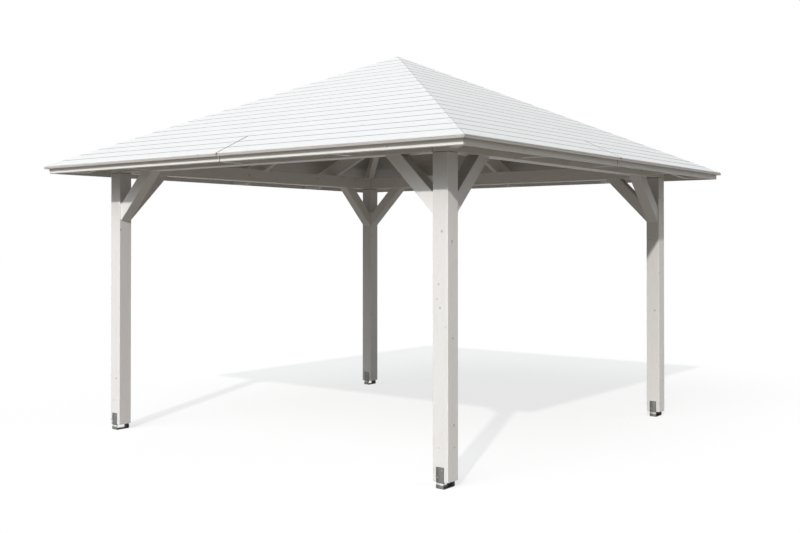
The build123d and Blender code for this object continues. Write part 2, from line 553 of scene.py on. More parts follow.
def open_tree(name: str, values: dict[str, object]) -> tuple[NodeTree, bpy.types.NodeOutputs]:
    """Starts a Geometry Nodes tree with a named input for each value and one geometry output.

    Args:
        name: the tree's name.
        values: the inputs after the geometry, by name, each with a value of its type.

    Returns:
        The tree and the sockets of its inputs.
    """
    kinds = {int: "Int", float: "Float", tuple: "Vector", Material: "Material", Object: "Object"}
    tree = bpy.data.node_groups.new(name, "GeometryNodeTree")
    tree.interface.new_socket("Geometry", in_out="INPUT", socket_type="NodeSocketGeometry")
    tree.interface.new_socket("Geometry", in_out="OUTPUT", socket_type="NodeSocketGeometry")
    for label, value in values.items():
        kind = f"NodeSocket{kinds[type(value)]}"
        tree.interface.new_socket(label, in_out="INPUT", socket_type=kind)
    return tree, tree.nodes.new("NodeGroupInput").outputs


def apply_tree(name: str, source: Mesh, tree: NodeTree, values: dict[str, object]) -> Object:
    """Runs a tree on a mesh and keeps the result as a plain mesh object.

    Args:
        name: the new piece's name.
        source: the mesh that the tree starts from.
        tree: the Geometry Nodes tree.
        values: a value for each named input.

    Returns:
        The finished object, with no modifier.
    """
    host = new_object(f"{name}_source", source)
    modifier = host.modifiers.new(tree.name, "NODES")
    modifier.node_group = tree
    for item in tree.interface.items_tree:
        if item.in_out == "INPUT" and item.name in values:
            modifier[item.identifier] = values[item.name]
    graph = bpy.context.evaluated_depsgraph_get()
    mesh = bpy.data.meshes.new_from_object(
        host.evaluated_get(graph), preserve_all_data_layers=True, depsgraph=graph
    )
    mesh.name = name
    bpy.data.objects.remove(host)
    return new_object(name, mesh)


# ---- Roof boarding ----


class BoardPart(Enum):
    """The parts of a board that take finishes of their own."""

    FACE = 0
    JOINT = 1
    UNDER = 2
    END = 3
    HIP = 4


@dataclass(frozen=True)
class Station:
    """A place along a board: a share of the row's half width, a shift, and whether a V cuts it."""

    share: float
    shift: float
    cut: bool


@dataclass
class RoofBoarding:
    """Tongue-and-groove boards in rows from the eave to the apex, mitred on the hips."""

    pitch: float = math.radians(25.2)
    thickness: float = 21 * MM
    cover: float = 117 * MM
    v_leg: float = 4.5 * MM
    under_ease: float = 1.5 * MM
    open_joint: float = 1.0 * MM
    tongue_long: float = 7 * MM
    tongue_thick: float = 4 * MM
    tongue_under: float = 8 * MM
    groove_deep: float = 8 * MM
    groove_wide: float = 4.4 * MM
    butted_rows: int = 3
    butt_gap: float = 5.0 * MM
    mitre_gap: float = 0.8 * MM
    eave_trim: float = 5.0 * MM
    weld: float = 0.02 * MM
    seed: int = 7
    eave_run: float = field(init=False)
    eave_level: float = field(init=False)
    rows: int = field(init=False)

    def __post_init__(self) -> None:
        """Takes the roof's reach and height from the frame."""
        low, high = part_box("roof_boarding_front")
        self.eave_run = -low.y
        self.eave_level = high.z - self.eave_run * math.tan(self.pitch)
        self.rows = math.ceil(self.eave_run / math.cos(self.pitch) / self.cover)

    def section(self) -> list[tuple[float, float]]:
        """One board's cross-section, as distance up the slope and height from its face."""
        low = self.open_joint / 2
        high = self.cover - self.open_joint / 2
        middle = -self.tongue_under
        tongue = self.tongue_thick / 2
        groove = self.groove_wide / 2
        return [
            (low + self.v_leg, 0.0),
            (high - self.v_leg, 0.0),
            (high, -self.v_leg),
            (high, middle + tongue),
            (high + self.tongue_long, middle + tongue),
            (high + self.tongue_long, middle - tongue),
            (high, middle - tongue),
            (high, self.under_ease - self.thickness),
            (high - self.under_ease, -self.thickness),
            (low + self.under_ease, -self.thickness),
            (low, self.under_ease - self.thickness),
            (low, middle - groove),
            (low + self.groove_deep, middle - groove),
            (low + self.groove_deep, middle + groove),
            (low, middle + groove),
            (low, -self.v_leg),
        ]

    def board(self, name: str, lengths: list[list[Station]]) -> Mesh:
        """Makes the boards of one row, with their length as a share of its half width.

        Args:
            name: the mesh's name.
            lengths: the stations along each board in the row.

        Returns:
            The mesh, with its faces marked by the BoardPart that each belongs to.
        """
        work = bmesh.new()
        part = work.faces.layers.int.new("part")
        shift = work.verts.layers.float.new("shift")
        outline = self.section()
        count = len(outline)
        for stations in lengths:
            rings = []
            for station in stations:
                bottom, top = -self.thickness, 0.0
                if station.cut:
                    bottom, top = bottom + self.under_ease, -self.v_leg
                ring = [
                    work.verts.new((station.share, along, min(max(height, bottom), top)))
                    for along, height in outline
                ]
                for vertex in ring:
                    vertex[shift] = station.shift
                rings.append(ring)
            for k, (first, second) in enumerate(zip(rings, rings[1:])):
                butted = stations[k].share == stations[k + 1].share == 0.0
                mitred = stations[k].share == stations[k + 1].share != 0.0
                for i in range(count):
                    j = (i + 1) % count
                    quad = work.faces.new((first[i], first[j], second[j], second[i]))
                    if quad.calc_center_median().z < -self.thickness / 2:
                        quad[part] = BoardPart.UNDER.value
                    elif butted:
                        quad[part] = BoardPart.END.value
                    elif i != 0:
                        quad[part] = BoardPart.JOINT.value
                    elif mitred:
                        quad[part] = BoardPart.HIP.value
            for ring, station in ((rings[0], stations[0]), (rings[-1], stations[-1])):
                cap = work.faces.new(ring)
                cap[part] = (BoardPart.JOINT if station.share else BoardPart.END).value
        return closed_mesh(name, work)

    def tree(self, values: dict[str, object]) -> NodeTree:
        """Builds the tree that lays boards in rows and bends their ends onto the hips.

        Args:
            values: the tree's inputs.

        Returns:
            The tree.
        """
        tree, get = open_tree("BoardRows", values)
        step = add(tree, COMBINE, {"Y": get["Cover"]})
        line = add(tree, "GeometryNodeMeshLine", {"Count": get["Rows"], "Offset": step})
        index = add(tree, "GeometryNodeInputIndex")
        dice = {"ID": index, "Seed": get["Seed"]}
        chance = add(tree, "FunctionNodeRandomValue", dice, data_type="FLOAT").outputs[1]
        toned = {"Geometry": line, "Name": "board", "Value": chance}
        points = add(tree, STORE, toned, data_type="FLOAT", domain="POINT")
        numbered = {"Geometry": points, "Name": "row", "Value": index}
        points = add(tree, STORE, numbered, data_type="INT", domain="POINT")
        first = {2: index, 3: get["Butted Rows"]}
        butted = add(tree, "FunctionNodeCompare", first, data_type="INT", operation="LESS_THAN")
        whole = add(tree, "FunctionNodeBooleanMath", (butted,), operation="NOT")
        other = add(tree, "GeometryNodeObjectInfo", {"Object": get["Butted Board"]})
        joined = add(tree, "GeometryNodeJoinGeometry")
        for rows, board in ((whole, get["Geometry"]), (butted, other.outputs["Geometry"])):
            spread = {"Points": points, "Selection": rows, "Instance": board}
            laid = add(tree, "GeometryNodeInstanceOnPoints", spread)
            tree.links.new(laid.outputs[0], joined.inputs[0])
        real = add(tree, "GeometryNodeRealizeInstances", (joined,))
        add(tree, "NodeGroupOutput", (self._finish(tree, get, self._mitre(tree, get, real)),))
        return tree

    @staticmethod
    def _mitre(tree: NodeTree, get: bpy.types.NodeOutputs, rows: Node) -> Node:
        """Lays the rows on the slope, cuts the eave plumb and draws the ends in to the hips.

        Args:
            tree: the roof's tree.
            get: the tree's inputs.
            rows: the rows, flat, with the boards' length as a share of the half width.

        Returns:
            The roof's side, turned to its place.
        """
        share, up_slope, height = add(
            tree, SEPARATE, (add(tree, "GeometryNodeInputPosition"),)
        ).outputs
        cosine = add(tree, MATH, (get["Pitch"],), operation="COSINE")
        sine = add(tree, MATH, (get["Pitch"],), operation="SINE")
        inner = add(tree, MATH, (up_slope, get["Square Edge"]), operation="GREATER_THAN")
        behind = add(tree, MATH, (height, sine, get["Eave Trim"]), operation="MULTIPLY_ADD")
        plumb = add(tree, MATH, (behind, cosine), operation="DIVIDE")
        ends = {"Factor": inner, "A": plumb, "B": up_slope}
        squared = add(tree, MIX, ends, data_type="FLOAT").outputs["Result"]
        reach = add(tree, MATH, (height, sine, get["Eave Run"]), operation="MULTIPLY_ADD")
        top = add(tree, MATH, (reach, cosine), operation="DIVIDE")
        up = add(tree, MATH, (squared, top), operation="MINIMUM")
        climbed = add(tree, MATH, (up, cosine), operation="MULTIPLY")
        run = add(tree, MATH, (reach, climbed), operation="SUBTRACT")
        trimmed = add(tree, MATH, (run, get["Mitre Gap"]), operation="SUBTRACT")
        half = add(tree, MATH, (trimmed, 0.0), operation="MAXIMUM")
        other_half = add(tree, MATH, (half, -1.0), operation="MULTIPLY")
        shift = add(tree, READ, {"Name": "shift"}, data_type="FLOAT")
        set_out = add(tree, MATH, (share, half, shift), operation="MULTIPLY_ADD")
        across = add(tree, "ShaderNodeClamp", {"Value": set_out, "Min": other_half, "Max": half})
        rise = add(tree, MATH, (up, sine, get["Eave Level"]), operation="MULTIPLY_ADD")
        level = add(tree, MATH, (height, cosine, rise), operation="MULTIPLY_ADD")
        back = add(tree, MATH, (run, -1.0), operation="MULTIPLY")
        on_board = add(tree, COMBINE, (across, up, height))
        grain = {"Geometry": rows, "Name": "grain", "Value": on_board}
        grained = add(tree, STORE, grain, data_type="FLOAT_VECTOR", domain="POINT")
        there = {"Geometry": grained, "Position": add(tree, COMBINE, (across, back, level))}
        moved = add(tree, "GeometryNodeSetPosition", there)
        near = {"Geometry": moved, "Distance": get["Weld"]}
        merged = add(tree, "GeometryNodeMergeByDistance", near)
        facing = {"Geometry": merged, "Rotation": add(tree, COMBINE, {"Z": get["Turn"]})}
        return add(tree, "GeometryNodeTransform", facing)

    @staticmethod
    def _finish(tree: NodeTree, get: bpy.types.NodeOutputs, side: Node) -> Node:
        """Gives each part of the boards its finish; in the eave's strip, joints keep the face's.

        Args:
            tree: the roof's tree.
            get: the tree's inputs.
            side: the side's boards in place.

        Returns:
            The finished side.
        """
        part = add(tree, READ, {"Name": "part"}, data_type="INT")
        grain = add(tree, READ, {"Name": "grain"}, data_type="FLOAT_VECTOR")
        _, up, height = add(tree, SEPARATE, (grain,)).outputs
        cosine = add(tree, MATH, (get["Pitch"],), operation="COSINE")
        sine = add(tree, MATH, (get["Pitch"],), operation="SINE")
        leaning = add(tree, MATH, (height, sine), operation="MULTIPLY")
        level_run = add(tree, MATH, (up, cosine), operation="MULTIPLY")
        from_eave = add(tree, MATH, (level_run, leaning), operation="SUBTRACT")
        inside = add(tree, MATH, (from_eave, get["Eave Strip"]), operation="GREATER_THAN")
        # The joint, hip and underside finishes are painted shade; the end finish is the end grain's
        # own tone.
        for kind in BoardPart:
            painted = {"Geometry": side, "Material": get[kind.name]}
            if kind is not BoardPart.FACE:
                same = {2: part, 3: kind.value}
                own = add(tree, "FunctionNodeCompare", same, data_type="INT", operation="EQUAL")
                painted["Selection"] = own
            if kind is BoardPart.JOINT:
                painted["Selection"] = add(tree, MATH, (own, inside), operation="MULTIPLY")
            side = add(tree, SET_MATERIAL, painted)
        return side

    def build(self, finishes: dict[BoardPart, Material]) -> None:
        """Lays the boards on all four sides.

        Args:
            finishes: the finish of each part of the boards.
        """
        gap = self.butt_gap / 2
        left = [Station(-1.0, 0.0, True), Station(-1.0, self.v_leg, False)]
        right = [Station(1.0, -self.v_leg, False), Station(1.0, 0.0, True)]
        to_butt = [Station(0.0, -gap - self.v_leg, False), Station(0.0, -gap, True)]
        from_butt = [Station(0.0, gap, True), Station(0.0, gap + self.v_leg, False)]
        halves = self.board("butted_board", [left + to_butt, from_butt + right])
        butted = new_object("butted_board", halves)
        values = {
            "Butted Board": butted,
            "Rows": self.rows,
            "Butted Rows": self.butted_rows,
            "Cover": self.cover,
            "Eave Run": self.eave_run,
            "Eave Level": self.eave_level,
            "Pitch": self.pitch,
            "Square Edge": self.v_leg + self.open_joint,
            "Eave Trim": self.eave_trim,
            "Eave Strip": 2 * self.groove_deep,
            "Mitre Gap": self.mitre_gap,
            "Weld": self.weld,
            "Turn": Side.FRONT.turn,
            "Seed": self.seed,
        } | {part.name: finish for part, finish in finishes.items()}
        tree = self.tree(values)
        for side in Side:
            values |= {"Turn": side.turn, "Seed": self.seed + side.value}
            whole = self.board("whole_board", [left + right])
            piece = apply_tree(f"roof_boards_{side.label}", whole, tree, values)
            declare(piece, (f"roof_boarding_{side.label}",))
        bpy.data.objects.remove(butted)


# ---- Timber frame ----


@dataclass
class TimberFrame:
    """Posts, plates, braces, rafters and fascia: the frame's own solids, dressed."""

    pitch: float = math.radians(25.2)
    lamella: float = 40 * MM
    lap_joint: float = 2.5 * MM
    lap_stain: float = 1.5 * MM
    head_stain: float = 4.2 * MM
    tail_stain: float = 0.6 * MM
    fascia_joint: float = 5.0 * MM
    fascia_stain: float = 0.8 * MM
    # Painted shade on the braces' upper faces, which look into the dark corner under the plate.
    brace_dust: float = 0.42

    def build(self, glulam: GlazedSpruce, solid: GlazedSpruce) -> None:
        """Dresses every timber node.

        Args:
            glulam: the finish of the posts and plates.
            solid: the finish of the other timbers.
        """
        low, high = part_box("post_front_right")
        # Painted shade: a dark band at the top of each post draws the shade in the joint under the
        # plate.
        head = Seam(UP, high.z, self.head_stain)
        glue_at = abs(low.y) - 2 * self.lamella
        upright = glulam.material("posts", UP, Vector((0, 1, 0)), glue_at, (head,))
        for corner in Corner:
            dress(f"post_{corner.label}", upright)
            sloping = corner.outward * math.cos(self.hip_pitch)
            sloping.z = -math.sin(self.hip_pitch)
            dress(f"hip_rafter_{corner.label}", solid.material(f"hip {corner.label}", sloping))
        for side in Side:
            self._plate(side, glulam, low.x)
            fall = side.outward * math.cos(self.pitch)
            fall.z = -math.sin(self.pitch)
            tail_low, tail_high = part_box(f"common_rafter_{side.label}")
            tail_at = max(*map(abs, tail_low.xy), *map(abs, tail_high.xy))
            tail = Seam(side.outward, tail_at, self.tail_stain)
            rafter = solid.material(f"rafters {side.label}", fall, seams=(tail,))
            dress(f"common_rafter_{side.label}", rafter)
            dress(f"jack_rafters_{side.label}", rafter)
            butt = Seam(side.along, self.fascia_joint / 2, self.fascia_stain)
            fascia = solid.material(f"fascia {side.label}", side.along, seams=(butt,))
            dress(f"fascia_{side.label}", fascia)
            self._braces(side, solid)
        dress("king_block", solid.material("king block", UP))

    @property
    def hip_pitch(self) -> float:
        """Pitch of a hip rafter, in radians."""
        return math.atan(math.tan(self.pitch) / math.sqrt(2))

    def _plate(self, side: Side, glulam: GlazedSpruce, post_inside: float) -> None:
        """Dresses one wall plate, with the dark line of the half-lap at each end.

        Args:
            side: the side that the plate is on.
            glulam: its finish.
            post_inside: distance of a post's inner face from the middle.
        """
        low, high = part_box("plate_front")
        # The lap line is partly the shoulder's end grain and partly painted shade of the open lap,
        # widened onto the faces.
        lap_at = post_inside - self.lap_joint / 2
        half_way = (low.z + high.z) / 2
        reach = self.lap_joint / 2 + self.lap_stain
        # The line shows below half height on the front and back plates, above it on the others.
        if side in (Side.FRONT, Side.BACK):
            lap = Seam(side.along, lap_at, reach, high=half_way)
        else:
            lap = Seam(side.along, lap_at, reach, low=half_way)
        glue_at = low.z + self.lamella
        finish = glulam.material(f"plate {side.label}", side.along, UP, glue_at, (lap,))
        dress(f"plate_{side.label}", finish)

    def _braces(self, side: Side, solid: GlazedSpruce) -> None:
        """Dresses the two knee braces of one side.

        Args:
            side: the side whose frame they stiffen.
            solid: their finish.
        """
        ends = ("left", "right") if side in (Side.FRONT, Side.BACK) else ("front", "back")
        for end in ends:
            node = f"brace_{side.label}_{end}"
            low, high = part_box(node)
            inward = -(low + high) / 2
            inward -= inward.dot(side.outward) * side.outward
            inward.z = 0
            rising = (inward.normalized() + UP).normalized()
            label = f"brace {side.label} {end}"
            # Painted shade on the brace's upper faces.
            dress(node, solid.material(label, rising, top_shade=self.brace_dust))


# ---- Post shoes ----


@dataclass
class PostShoes:
    """One flat steel strip under each post, crimped below the post's foot and bent to a U.

    The strip runs down one face of the post, steps in under its foot and slopes back
    out, then goes down to the ground and across to the other face.
    """

    width: float = 60 * MM
    thickness: float = 5 * MM
    foot: float = 45 * MM
    step_in: float = 10 * MM
    slope_foot: float = 27 * MM
    bends: tuple[float, ...] = (3.5 * MM, 3.0 * MM, 8.0 * MM, 7.5 * MM)
    arc_points: int = 6
    anchor_hole: float = 14 * MM
    hole_sides: int = 32
    # How far a face's normal leans sideways on a cut edge, and up on the slope.
    edge_lean: float = 0.5
    slope_lean: float = 0.1

    def route(self, half: float, top: float) -> list[tuple[float, float, float]]:
        """Half of the strip's middle line, from the top of a flange to the ground.

        Args:
            half: distance from the post's middle to the strip's outer face.
            top: level of the flange's top.

        Returns:
            Distance from the post's middle, level and bend radius of each point.
        """
        line = half - self.thickness / 2
        ledge = self.foot - self.thickness / 2
        ground = self.thickness / 2
        places = [
            (line, top),
            (line, ledge),
            (line - self.step_in, ledge),
            (line, self.slope_foot),
            (line, ground),
        ]
        return [(*place, bend) for place, bend in zip(places, (0.0, *self.bends))]

    def middle_line(self, corner: Corner) -> Mesh:
        """Makes the strip's middle line as a chain of edges with a bend radius at each point.

        Args:
            corner: the post that the shoe carries.

        Returns:
            The mesh.
        """
        low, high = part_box(f"post_shoe_{corner.label}")
        middle = (low + high) / 2
        down = self.route(middle.y - low.y, high.z)
        points = [(-out, level, bend) for out, level, bend in down]
        points += [(out, level, bend) for out, level, bend in reversed(down)]
        mesh = bpy.data.meshes.new(f"strip_line_{corner.label}")
        places = [(middle.x, middle.y + out, level) for out, level, _ in points]
        mesh.from_pydata(places, [(k, k + 1) for k in range(len(points) - 1)], [])
        bend = mesh.attributes.new("bend", "FLOAT", "POINT")
        for item, (_, _, radius) in zip(bend.data, points):
            item.value = radius
        return mesh

    def tree(self, values: dict[str, object]) -> NodeTree:
        """Builds the tree that bends a flat strip along its middle line and drills its foot.

        Args:
            values: the tree's inputs.

        Returns:
            The tree.
        """
        tree, get = open_tree("BentStrip", values)
        radius = add(tree, READ, {"Name": "bend"}, data_type="FLOAT")
        line = add(tree, "GeometryNodeMeshToCurve", (get["Geometry"],))
        bends = {"Curve": line, "Count": get["Arc Points"], "Radius": radius, "Limit Radius": True}
        bent = add(tree, "GeometryNodeFilletCurve", bends, mode="POLY")
        flat = {"Width": get["Width"], "Height": get["Thickness"]}
        section = add(tree, "GeometryNodeCurvePrimitiveQuadrilateral", flat)
        swept = {"Curve": bent, "Profile Curve": section, "Fill Caps": True}
        strip = add(tree, "GeometryNodeCurveToMesh", swept)
        size = {"Radius": get["Hole Radius"], "Depth": get["Foot"], "Vertices": get["Hole Sides"]}
        drill = add(tree, "GeometryNodeMeshCylinder", size).outputs["Mesh"]
        there = {"Geometry": drill, "Translation": get["Middle"]}
        held = add(tree, "GeometryNodeTransform", there)
        cut = {"operation": "DIFFERENCE", "solver": "EXACT"}
        drilled = add(tree, "GeometryNodeMeshBoolean", (strip, held), **cut)
        real = add(tree, "GeometryNodeRealizeInstances", (drilled,))
        add(tree, "NodeGroupOutput", (self._finish(tree, get, real),))
        return tree

    def _finish(self, tree: NodeTree, get: bpy.types.NodeOutputs, shoe: Node) -> Node:
        """Gives the strip's outside its finish, its inside a darker one as painted shade, and the
        crimp's slope a lighter one as a painted highlight.

        Args:
            tree: the shoe's tree.
            get: the tree's inputs.
            shoe: the bent and drilled strip.

        Returns:
            The finished shoe.
        """
        place = add(tree, "GeometryNodeInputPosition")
        offset = add(tree, VECTOR_MATH, (place, get["Middle"]), operation="SUBTRACT")
        level = add(tree, SEPARATE, (place,)).outputs["Z"]
        aside, outward, upward = add(tree, SEPARATE, (add(tree, "GeometryNodeInputNormal"),)).outputs
        out = add(tree, SEPARATE, (offset,)).outputs["Y"]
        away = add(tree, MATH, (out, outward), operation="MULTIPLY")
        inner = add(tree, MATH, (away, 0.0), operation="LESS_THAN")
        sideways = add(tree, MATH, (aside,), operation="ABSOLUTE")
        edge = add(tree, MATH, (sideways, self.edge_lean), operation="GREATER_THAN")
        outer = add(tree, MATH, (away, self.thickness / 2), operation="GREATER_THAN")
        above = add(tree, MATH, (level, get["Slope Foot"]), operation="GREATER_THAN")
        below = add(tree, MATH, (level, get["Foot"]), operation="LESS_THAN")
        low_edge = add(tree, MATH, (edge, below), operation="MULTIPLY")
        # Painted shade: the faces turned to the post and the low cut edges take the darker inside
        # finish.
        dull = add(tree, MATH, (inner, low_edge), operation="MAXIMUM")
        # Painted highlight: the crimp's outer slope that faces up takes a lighter, less metallic
        # finish.
        rising = add(tree, MATH, (upward, self.slope_lean), operation="GREATER_THAN")
        band = add(tree, MATH, (above, below), operation="MULTIPLY")
        lit = add(tree, MATH, (outer, rising), operation="MULTIPLY")
        slope = add(tree, MATH, (band, lit), operation="MULTIPLY")
        shoe = add(tree, SET_MATERIAL, {"Geometry": shoe, "Material": get["Strip"]})
        for faces, finish in ((dull, get["Inside"]), (slope, get["Slope"])):
            painted = {"Geometry": shoe, "Selection": faces, "Material": finish}
            shoe = add(tree, SET_MATERIAL, painted)
        return shoe

    def build(self, strip: Material, inside: Material, slope: Material) -> None:
        """Bends the four shoes.

        Args:
            strip: the finish of the strip's outer faces.
            inside: the finish of the faces turned to the post and of the low cut edges, darker as
                painted shade.
            slope: the finish of the crimp's slope, lighter as a painted highlight.
        """
        values = {
            "Width": self.width,
            "Thickness": self.thickness,
            "Arc Points": self.arc_points,
            "Hole Radius": self.anchor_hole / 2,
            "Hole Sides": self.hole_sides,
            "Middle": (0.0, 0.0, 0.0),
            "Foot": self.foot,
            "Slope Foot": self.slope_foot,
            "Strip": strip,
            "Inside": inside,
            "Slope": slope,
        }
        tree = self.tree(values)
        for corner in Corner:
            low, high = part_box(f"post_shoe_{corner.label}")
            middle = (low + high) / 2
            values["Middle"] = (middle.x, middle.y, 0.0)
            line = self.middle_line(corner)
            piece = apply_tree(f"bent_strip_{corner.label}", line, tree, values)
            declare(piece, (f"post_shoe_{corner.label}",))


# ---- Fixings ----


@dataclass
class Fixings:
    """Screws and nails: heads set on points, each turned to the face it sits on."""

    hex_flats: float = 8 * MM
    hex_high: float = 4 * MM
    # A head's edge stands at a share of its height, and its crown has a share of its width.
    hex_edge: float = 0.85
    hex_crown: float = 0.88
    washer_radius: float = 5.5 * MM
    washer_high: float = 1.2 * MM
    washer_sides: int = 24
    nail_radius: float = 2.5 * MM
    nail_high: float = 0.4 * MM
    nail_edge: float = 0.4
    nail_crown: float = 0.8
    nail_sunk: float = 0.5 * MM
    nail_sides: int = 10
    # Each screw of a flange: how far below its top, and how far aside of its middle.
    screw_places: tuple[tuple[float, float], ...] = ((20 * MM, 17 * MM), (66 * MM, -15 * MM))
    board_margin: float = 28 * MM
    hip_inset: float = 30 * MM
    butt_inset: float = 14 * MM
    corner_inset: float = 45 * MM
    fascia_lifts: tuple[float, float] = (-14 * MM, 10 * MM)
    seed: int = 3

    def tree(self, values: dict[str, object]) -> NodeTree:
        """Builds the tree that sets one head on each point, along the point's own facing.

        Args:
            values: the tree's inputs.

        Returns:
            The tree.
        """
        tree, get = open_tree("HeadsOnPoints", values)
        facing = add(tree, READ, {"Name": "facing"}, data_type="FLOAT_VECTOR")
        aligned = add(tree, "FunctionNodeAlignRotationToVector", {"Vector": facing}, axis="Z")
        circle = {2: 0.0, 3: math.tau, "Seed": get["Seed"]}
        spin = add(tree, "FunctionNodeRandomValue", circle, data_type="FLOAT").outputs[1]
        about = add(tree, COMBINE, {"Z": spin})
        both = (aligned, add(tree, "FunctionNodeEulerToRotation", (about,)))
        turned = add(tree, "FunctionNodeRotateRotation", both, rotation_space="LOCAL")
        head = add(tree, "GeometryNodeObjectInfo", {"Object": get["Head"]}).outputs["Geometry"]
        points = add(tree, "GeometryNodeMeshToPoints", {"Mesh": get["Geometry"]})
        set_on = {"Points": points, "Instance": head, "Rotation": turned}
        placed = add(tree, "GeometryNodeInstanceOnPoints", set_on)
        real = add(tree, "GeometryNodeRealizeInstances", (placed,))
        painted = add(tree, SET_MATERIAL, {"Geometry": real, "Material": get["Finish"]})
        add(tree, "NodeGroupOutput", (painted,))
        return tree

    @staticmethod
    def head(name: str, steps: list[tuple[float, float, int]]) -> Object:
        """Makes a fastener's head as a closed stack of rings on its seat.

        Args:
            name: the head's name.
            steps: radius, height and number of sides of each ring, from the seat up.

        Returns:
            The head, standing on the origin.
        """
        work = bmesh.new()
        rings = []
        for radius, height, sides in steps:
            turns = [math.tau * k / sides for k in range(sides)]
            places = [(radius * math.cos(turn), radius * math.sin(turn), height) for turn in turns]
            rings.append([work.verts.new(place) for place in places])
        work.faces.new(rings[0])
        for lower, upper in zip(rings, rings[1:]):
            if len(lower) == len(upper):
                for k in range(len(lower)):
                    j = (k + 1) % len(lower)
                    work.faces.new((lower[k], lower[j], upper[j], upper[k]))
            else:
                work.faces.new(lower)
                work.faces.new(upper)
        work.faces.new(rings[-1])
        return new_object(name, closed_mesh(name, work))

    @staticmethod
    def points(name: str, places: list[tuple[Vector, Vector]]) -> Mesh:
        """Makes the mesh of loose points that the tree sets heads on.

        Args:
            name: the mesh's name.
            places: each head's seat and the direction that it faces.

        Returns:
            The mesh.
        """
        mesh = bpy.data.meshes.new(name)
        mesh.from_pydata([tuple(seat) for seat, _ in places], [], [])
        facing = mesh.attributes.new("facing", "FLOAT_VECTOR", "POINT")
        for item, (_, direction) in zip(facing.data, places):
            item.vector = direction
        return mesh

    def shoe_screws(self) -> list[tuple[Vector, Vector]]:
        """Seats of the two coach screws in each upright flange of the post shoes."""
        places = []
        for corner in Corner:
            low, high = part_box(f"post_shoe_{corner.label}")
            middle = (low + high) / 2
            for hand, y in ((-1, low.y), (1, high.y)):
                for drop, shift in self.screw_places:
                    seat = Vector((middle.x - hand * shift, y, high.z - drop))
                    places.append((seat, Vector((0, hand, 0))))
        return places

    def board_nails(self, roof: RoofBoarding, jack_at: float) -> list[tuple[Vector, Vector]]:
        """Seats of two nails for each board at each rafter.

        Args:
            roof: the boarding that they hold.
            jack_at: distance of a jack rafter from the middle of a side.

        Returns:
            The seats and their facing.
        """
        places = []
        for side in Side:
            up = side.outward * -math.cos(roof.pitch) + UP * math.sin(roof.pitch)
            normal = side.outward * math.sin(roof.pitch) + UP * math.cos(roof.pitch)
            eave = side.outward * roof.eave_run + UP * roof.eave_level
            for row in range(roof.rows):
                for share in (self.board_margin, roof.cover - self.board_margin):
                    travel = row * roof.cover + share
                    run = roof.eave_run - travel * math.cos(roof.pitch)
                    if run < 3 * self.hip_inset:
                        continue
                    lines = [run - self.hip_inset, self.hip_inset - run]
                    butted = row < roof.butted_rows
                    lines += [self.butt_inset, -self.butt_inset] if butted else [0.0]
                    if run > jack_at + self.hip_inset:
                        lines += [jack_at, -jack_at]
                    places += [(eave + up * travel + side.along * x, normal) for x in lines]
        return places

    def fascia_nails(self, jack_at: float) -> list[tuple[Vector, Vector]]:
        """Seats of two nails in the fascia at each rafter tail.

        Args:
            jack_at: distance of a jack rafter from the middle of a side.

        Returns:
            The seats and their facing.
        """
        places = []
        for side in Side:
            low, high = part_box(f"fascia_{side.label}")
            reach = max(abs(low.x), abs(low.y), abs(high.x), abs(high.y))
            middle = (low.z + high.z) / 2
            for line in (self.butt_inset, jack_at, reach - self.corner_inset):
                for x in (-line, line):
                    for lift in self.fascia_lifts:
                        seat = side.outward * reach + side.along * x + UP * (middle + lift)
                        places.append((seat, side.outward))
        return places

    def build(self, roof: RoofBoarding, zinc: Material, glazed: Material) -> None:
        """Sets every head.

        Args:
            roof: the boarding that the nails hold.
            zinc: the finish of the screws' heads.
            glazed: the finish of the nails' heads.
        """
        _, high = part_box("jack_rafters_front")
        low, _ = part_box("common_rafter_front")
        jack_at = high.x - abs(low.x)
        across = self.hex_flats / math.sqrt(3)
        washer = [(self.washer_radius, z, self.washer_sides) for z in (0.0, self.washer_high)]
        hexagon = [
            (across, self.washer_high, 6),
            (across, self.washer_high + self.hex_high * self.hex_edge, 6),
            (across * self.hex_crown, self.washer_high + self.hex_high, 6),
        ]
        round_head = [
            (self.nail_radius, -self.nail_sunk, self.nail_sides),
            (self.nail_radius, self.nail_high * self.nail_edge, self.nail_sides),
            (self.nail_radius * self.nail_crown, self.nail_high, self.nail_sides),
        ]
        coach = self.head("coach_head", washer + hexagon)
        nail = self.head("nail_head", round_head)
        values = {"Head": coach, "Seed": self.seed, "Finish": zinc}
        tree = self.tree(values)
        for name, head, finish, places in (
            ("shoe_screws", coach, zinc, self.shoe_screws()),
            ("board_nails", nail, glazed, self.board_nails(roof, jack_at)),
            ("fascia_nails", nail, glazed, self.fascia_nails(jack_at)),
        ):
            values |= {"Head": head, "Finish": finish}
            piece = apply_tree(name, self.points(name, places), tree, values)
            declare(piece)
        bpy.data.objects.remove(coach)
        bpy.data.objects.remove(nail)


# ---- Studio ----


@dataclass(frozen=True)
class Glow:
    """A soft bright patch of the sky: where it is, how bright and how tight."""

    azimuth: float
    elevation: float
    strength: float
    power: float

    @property
    def toward(self) -> Vector:
        """The way to the patch's middle; azimuth 0 is the front, 90 degrees the right."""
        azimuth, elevation = math.radians(self.azimuth), math.radians(self.elevation)
        level = math.cos(elevation)
        return Vector((level * math.sin(azimuth), -level * math.cos(azimuth), math.sin(elevation)))


